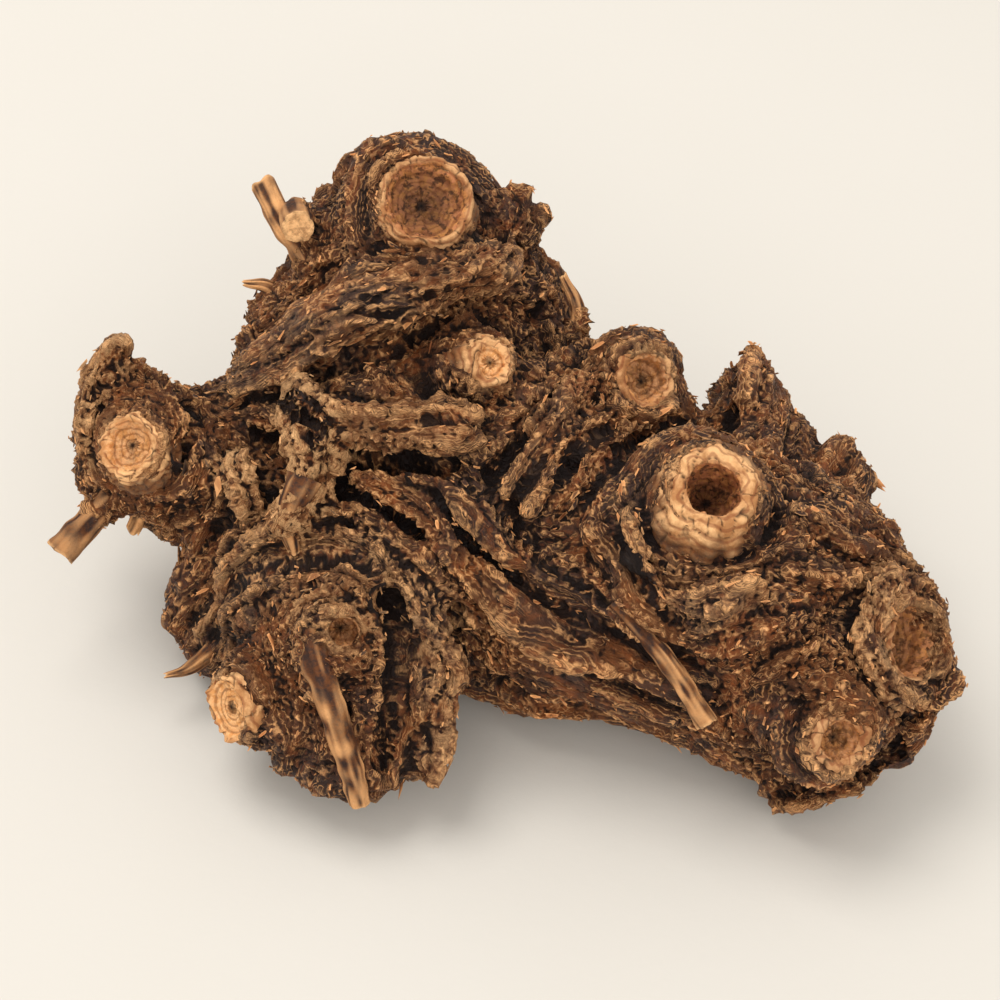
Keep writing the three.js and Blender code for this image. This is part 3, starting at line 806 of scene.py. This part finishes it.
# ---------------------------------------------------------------- materials
class Nodes:
    """A short way to write a node material."""

    def __init__(self, name):
        self.material = bpy.data.materials.new(name)
        self.material.use_nodes = True
        self.tree = self.material.node_tree
        self.shader = self.tree.nodes["Principled BSDF"]

    def link(self, value, socket):
        if isinstance(value, bpy.types.NodeSocket):
            self.tree.links.new(value, socket)
        else:
            socket.default_value = value

    def attribute(self, name):
        node = self.tree.nodes.new("ShaderNodeAttribute")
        node.attribute_name = name
        return node.outputs["Fac"]

    def math(self, kind, a, b=0.0, c=0.0, clamp=False):
        node = self.tree.nodes.new("ShaderNodeMath")
        node.operation = kind
        node.use_clamp = clamp
        for value, socket in zip((a, b, c), node.inputs):
            self.link(value, socket)
        return node.outputs[0]

    def mix(self, amount, a, b):
        node = self.tree.nodes.new("ShaderNodeMix")
        node.data_type = "RGBA"
        self.link(amount, node.inputs["Factor"])
        self.link(a if isinstance(a, bpy.types.NodeSocket) else (*a, 1), node.inputs["A"])
        self.link(b if isinstance(b, bpy.types.NodeSocket) else (*b, 1), node.inputs["B"])
        return node.outputs["Result"]

    def ramp(self, value, low, high):
        node = self.tree.nodes.new("ShaderNodeMapRange")
        node.interpolation_type = "SMOOTHSTEP"
        self.link(value, node.inputs["Value"])
        node.inputs["From Min"].default_value = low
        node.inputs["From Max"].default_value = high
        return node.outputs["Result"]

    def noise(self, size, detail=4.0, roughness=0.6, distortion=0.0):
        """Noise with features of a size in millimetres."""
        where = self.tree.nodes.new("ShaderNodeTexCoord").outputs["Object"]
        node = self.tree.nodes.new("ShaderNodeTexNoise")
        node.inputs["Scale"].default_value = 1000 / size
        node.inputs["Detail"].default_value = detail
        node.inputs["Roughness"].default_value = roughness
        node.inputs["Distortion"].default_value = distortion
        self.tree.links.new(where, node.inputs["Vector"])
        return node.outputs["Fac"]

    def fibres(self, run, lines, size):
        """Fine lines that follow the lay of the bark, from a value that changes fastest across it."""
        join = self.tree.nodes.new("ShaderNodeCombineXYZ")
        self.link(self.math("MULTIPLY", run, lines), join.inputs["X"])
        self.link(self.math("MULTIPLY", self.noise(size, 2), 5.0), join.inputs["Y"])
        node = self.tree.nodes.new("ShaderNodeTexNoise")
        node.inputs["Scale"].default_value = 1.0
        node.inputs["Detail"].default_value = 4.0
        node.inputs["Roughness"].default_value = 0.65
        self.tree.links.new(join.outputs["Vector"], node.inputs["Vector"])
        return node.outputs["Fac"]

    def sheets(self, run, amount):
        """Sheets that overlap as a value grows: how high each stands, and 1 along its torn edge."""
        rough = self.math("MULTIPLY", self.math("SUBTRACT", self.noise(1.2, 4, 0.6), 0.5), amount)
        step = self.math("DIVIDE", self.math("ADD", self.math("SUBTRACT", run, LOWEST_SHEET), rough), SHEET_STEP)
        part = self.math("FRACT", step)
        rise = self.ramp(part, 0.02, 0.22)
        fall = self.math("SUBTRACT", 1.0, part)
        lip = self.math("MULTIPLY", rise, self.math("SUBTRACT", 1.0, self.ramp(part, 0.24, 0.46)))
        return self.math("MULTIPLY", rise, fall), lip

    def cells(self, size):
        """Distance to the nearest border of cells of a size in millimetres."""
        where = self.tree.nodes.new("ShaderNodeTexCoord").outputs["Object"]
        node = self.tree.nodes.new("ShaderNodeTexVoronoi")
        node.feature = "DISTANCE_TO_EDGE"
        node.inputs["Scale"].default_value = 1000 / size
        self.tree.links.new(where, node.inputs["Vector"])
        return node.outputs["Distance"]

    def finish(self, colour, rough, bump, depth, gloss=0.3):
        self.link(colour, self.shader.inputs["Base Color"])
        self.link(rough, self.shader.inputs["Roughness"])
        self.shader.inputs["Specular IOR Level"].default_value = gloss
        node = self.tree.nodes.new("ShaderNodeBump")
        node.inputs["Strength"].default_value = 0.9
        node.inputs["Distance"].default_value = depth * MM
        self.link(bump, node.inputs["Height"])
        self.tree.links.new(node.outputs["Normal"], self.shader.inputs["Normal"])
        return self.material


def linear(r, g, b):
    return tuple((c / 255) ** 2.2 for c in (r, g, b))


DARK = linear(24, 10, 4)
PLATE = linear(64, 45, 38)
BROWN = linear(108, 64, 34)
RUST = linear(156, 84, 38)
TAN = linear(255, 188, 124)
CREAM = linear(255, 198, 138)
REDWOOD = linear(128, 64, 36)


def bark_material():
    m = Nodes("flaking_bark")
    crest, height, pale = m.attribute("crest"), m.attribute("height"), m.attribute("pale")
    wide = m.fibres(m.attribute("run"), 5.0, 9)
    thin = m.fibres(m.attribute("fine_run"), 7.0, 6)
    sheet, lip = m.sheets(m.attribute("run"), 0.35)
    small_sheet, small_lip = m.sheets(m.attribute("fine_run"), 0.4)
    patch = m.ramp(m.noise(13, 3), 0.4, 0.62)
    speck = m.noise(1.6, 5, 0.7)
    fine = m.noise(0.5, 4, 0.7)
    base = m.mix(patch, PLATE, BROWN)
    base = m.mix(m.math("MULTIPLY", m.ramp(m.noise(4.5, 4, 0.6, 0.5), 0.48, 0.66), 0.5), base, RUST)
    base = m.mix(m.math("MULTIPLY", m.ramp(wide, 0.5, 0.66), 0.35), base, RUST)
    worn = m.math("ADD", 0.35, m.math("MULTIPLY", m.ramp(speck, 0.4, 0.58), 0.65))
    torn = m.math("MULTIPLY", m.math("MULTIPLY", lip, worn), m.ramp(m.noise(5.5, 3), 0.38, 0.58))
    base = m.mix(m.math("MULTIPLY", torn, 0.7), base, TAN)
    chipped = m.math("MULTIPLY", m.math("MULTIPLY", small_lip, worn), m.ramp(m.noise(4.5, 3), 0.5, 0.64))
    base = m.mix(m.math("MULTIPLY", chipped, 0.5), base, TAN)
    # Raised crests and broad raised places are turned tan: partly pale worn fibre along the strands, partly a painted
    # highlight where light catches the ridges.
    proud = m.math("MULTIPLY", m.ramp(crest, 0.7, 1.7), m.ramp(thin, 0.42, 0.6))
    base = m.mix(m.math("MULTIPLY", proud, 0.9), base, TAN)
    high = m.math("MULTIPLY", m.ramp(height, 0.4, 1.7), m.ramp(wide, 0.48, 0.64))
    base = m.mix(m.math("MULTIPLY", high, 0.7), base, TAN)
    base = m.mix(m.math("MULTIPLY", m.ramp(thin, 0.6, 0.72), 0.5), base, TAN)
    pale_wood = m.mix(m.ramp(m.math("ADD", m.math("MULTIPLY", speck, 0.5), m.math("MULTIPLY", wide, 0.5)), 0.38, 0.6), linear(150, 92, 50), CREAM)
    base = m.mix(m.math("MULTIPLY", pale, m.ramp(m.math("ADD", speck, m.math("MULTIPLY", crest, 0.12)), 0.4, 0.58)), base, pale_wood)
    base = m.mix(m.math("MULTIPLY", m.math("SUBTRACT", 1.0, m.ramp(thin, 0.3, 0.44)), 0.75), base, DARK)
    base = m.mix(m.math("MULTIPLY", m.math("SUBTRACT", 1.0, m.ramp(wide, 0.3, 0.44)), 0.75), base, DARK)
    # Painted shade: the bark is darkened where it sinks below its near neighbours (crest) and its wider neighbours
    # (height), in creases and hollows.
    base = m.mix(m.math("MULTIPLY", m.ramp(m.math("MULTIPLY", crest, -1), 0.1, 1.2), 0.9), base, DARK)
    base = m.mix(m.math("MULTIPLY", m.ramp(m.math("MULTIPLY", height, -1), 0.2, 1.3), 0.85), base, DARK)
    rough = m.math("ADD", 0.3, m.math("MULTIPLY", fine, 0.5))
    bump = m.math("ADD", m.math("MULTIPLY", fine, 0.35), m.math("ADD", m.math("MULTIPLY", wide, 1.2), m.math("MULTIPLY", thin, 1.0)))
    bump = m.math("ADD", bump, m.math("ADD", m.math("MULTIPLY", sheet, 0.6), m.math("MULTIPLY", small_sheet, 0.4)))
    return m.finish(base, rough, bump, 0.5)


def flake_material(name, tan):
    m = Nodes(name)
    rim, tone, height, pale = m.attribute("rim"), m.attribute("tone"), m.attribute("height"), m.attribute("pale")
    speck = m.noise(1.1, 4, 0.65)
    base = m.mix(m.ramp(tone, 0.2, 0.9), PLATE, RUST)
    # Tan by each flake's random tone, and a little more on raised bark as a painted highlight.
    base = m.mix(m.math("MULTIPLY", m.ramp(m.math("ADD", tone, m.math("MULTIPLY", height, 0.25)), 0.35, 1.1), tan), base, TAN)
    base = m.mix(m.math("MULTIPLY", m.ramp(rim, 0.55, 1.0), m.math("MULTIPLY", m.ramp(speck, 0.35, 0.6), 0.6)), base, TAN)
    # Painted shade: flakes lying in hollows of the bark are darkened.
    base = m.mix(m.math("MULTIPLY", m.ramp(m.math("MULTIPLY", height, -1), 0.1, 1.4), 0.8), base, DARK)
    base = m.mix(m.math("MULTIPLY", pale, 0.5), base, CREAM)
    return m.finish(base, 0.75, speck, 0.15)


def scar_material():
    m = Nodes("scar_wood")
    inside, outer, rings, cracks = (m.attribute(k) for k in ("inside", "outer", "rings", "cracks"))
    deep, tone, pale = m.attribute("deep"), m.attribute("tone"), m.attribute("pale")
    speck = m.noise(1.0, 5, 0.7)
    broad = m.noise(3.0, 4, 0.6)
    wood = m.mix(m.ramp(broad, 0.36, 0.62), linear(192, 134, 84), CREAM)
    wood = m.mix(m.math("MULTIPLY", m.math("SUBTRACT", 1.0, pale), 0.8), wood, linear(140, 88, 56))
    wood = m.mix(m.math("MULTIPLY", m.ramp(m.math("MULTIPLY", rings, -1), 0.1, 0.95), 0.55), wood, REDWOOD)
    hollow = m.mix(tone, linear(168, 80, 44), CREAM)
    hollow = m.mix(m.math("MULTIPLY", m.ramp(speck, 0.44, 0.6), 0.75), hollow, linear(222, 152, 84))
    hollow = m.mix(m.math("MULTIPLY", m.ramp(m.math("MULTIPLY", rings, -1), 0.0, 0.9), 0.5), hollow, linear(120, 66, 34))
    hollow = m.mix(m.math("MULTIPLY", m.ramp(m.noise(0.9, 4), 0.5, 0.62), m.math("SUBTRACT", 1.0, tone)), hollow, DARK)
    # Painted shade: the hollow darkens towards the bottom of the cup, less so where the scar's tone is high.
    hollow = m.mix(m.math("MULTIPLY", m.math("MULTIPLY", deep, deep), m.math("SUBTRACT", 1.0, tone)), hollow, DARK)
    hollow = m.mix(m.attribute("core"), hollow, DARK)
    base = m.mix(inside, wood, hollow)
    base = m.mix(m.math("MULTIPLY", outer, 0.85), base, m.mix(m.ramp(speck, 0.4, 0.62), PLATE, BROWN))
    base = m.mix(m.math("MULTIPLY", cracks, 0.85), base, DARK)
    return m.finish(base, 0.8, m.math("ADD", speck, m.noise(0.35, 3)), 0.25)


def root_material():
    m = Nodes("root_fibre")
    far, cut, fibre, pale = (m.attribute(k) for k in ("far", "cut", "fibre", "pale"))
    speck = m.noise(1.1, 5, 0.7)
    base = m.mix(m.ramp(speck, 0.38, 0.62), PLATE, BROWN)
    light = m.math("MULTIPLY", pale, m.ramp(m.math("ADD", fibre, m.math("MULTIPLY", far, 0.7)), -0.2, 1.5))
    base = m.mix(light, base, TAN)
    base = m.mix(m.math("MULTIPLY", cut, m.ramp(speck, 0.3, 0.6)), base, CREAM)
    base = m.mix(m.math("MULTIPLY", m.ramp(m.math("MULTIPLY", fibre, -1), 0.1, 0.9), 0.45), base, DARK)
    return m.finish(base, 0.75, m.math("ADD", speck, m.noise(0.35, 3)), 0.25)


# ---------------------------------------------------------------- the object
body = blended_body()
lay = bark_direction(body)
v, faces, n, attributes = bark(body, lay)
print("bark", len(v), "points")

rhizome = new_piece("rhizome_bark", v, faces, attributes)
facing = np.clip(0.62 + 0.5 * n[:, 2] - 0.25 * n[:, 1], 0, 1) * smooth_step(v[:, 2], 0, 8)
facing = np.maximum(facing, 0.9 * attributes["pale"])
thinned(rhizome, 196000, facing)
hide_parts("rhizome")
rhizome.data.materials.append(bark_material())

many = 1.0
coarse_flakes = flakes("bark_flakes_coarse", v, faces, n, lay, attributes, int(700 * many), 1.2, 101, 0.4)
coarse_flakes.data.materials.append(flake_material("coarse_flakes", 0.3))
fine_flakes = flakes("bark_flakes_fine", v, faces, n, lay, attributes, int(4500 * many), 0.6, 102, 0.5)
fine_flakes.data.materials.append(flake_material("fine_flakes", 0.6))

scars = new_piece("stem_scars", *joined([stem_scar(s, k) for k, s in enumerate(SCARS.values())]))
scars.data.materials.append(scar_material())

roots = new_piece("rootlets", *joined([rootlet(p, pale, k) for k, (p, pale) in enumerate(ROOTLETS.values())]))
roots.data.materials.append(root_material())
for o in (rhizome, coarse_flakes, fine_flakes, scars, roots):
    print(o.name, sum(len(f.vertices) - 2 for f in o.data.polygons), "triangles")


# ---------------------------------------------------------------- the studio
def studio():
    floor_mesh = bpy.data.meshes.new("floor")
    s = 6.0
    floor_mesh.from_pydata([(-s, -s, 0), (s, -s, 0), (s, s, 0), (-s, s, 0)], [], [(0, 1, 2, 3)])
    floor = bpy.data.objects.new("floor", floor_mesh)
    bpy.context.scene.collection.objects.link(floor)
    m = Nodes("paper")
    m.finish(m.mix(m.noise(60, 2), linear(219, 215, 208), linear(216, 212, 204)), 0.9, m.noise(3, 3), 0.05, gloss=0.0)
    floor_mesh.materials.append(m.material)

    world = bpy.data.worlds.new("studio")
    world.use_nodes = True
    world.node_tree.nodes["Background"].inputs["Color"].default_value = (1.0, 0.97, 0.93, 1)
    world.node_tree.nodes["Background"].inputs["Strength"].default_value = 0.84
    bpy.context.scene.world = world

    def panel(name, place, size, energy, colour):
        light = bpy.data.lights.new(name, "AREA")
        light.size, light.energy, light.color = size, energy, colour
        o = bpy.data.objects.new(name, light)
        o.location = place
        o.rotation_mode = "QUATERNION"
        o.rotation_quaternion = (Vector((0, 0, 0.02)) - Vector(place)).to_track_quat("-Z", "Y")
        bpy.context.scene.collection.objects.link(o)

    panel("key", (-0.2, 0.1, 0.66), 0.4, 2.3, (1.0, 0.975, 0.94))
    panel("fill", (0.25, -0.8, 0.45), 0.9, 2.8, (1.0, 0.98, 0.95))


def camera():
    """Looks down at 48 degrees along +Y, at a point over the skeleton's origin."""
    elevation = math.radians(48)
    target = Vector((0, 0, 20 * MM)) - Vector(BASE.tolist()) * MM
    back = Vector((0, -math.cos(elevation), math.sin(elevation)))
    data = bpy.data.cameras.new("camera")
    data.lens, data.sensor_width = 90, 36
    data.clip_start = 0.01
    o = bpy.data.objects.new("camera", data)
    o.location = target + back * 0.325
    o.rotation_mode = "QUATERNION"
    o.rotation_quaternion = (-back).to_track_quat("-Z", "Y")
    bpy.context.scene.collection.objects.link(o)
    bpy.context.scene.camera = o


studio()
camera()
bpy.context.scene.view_settings.view_transform = "Standard"
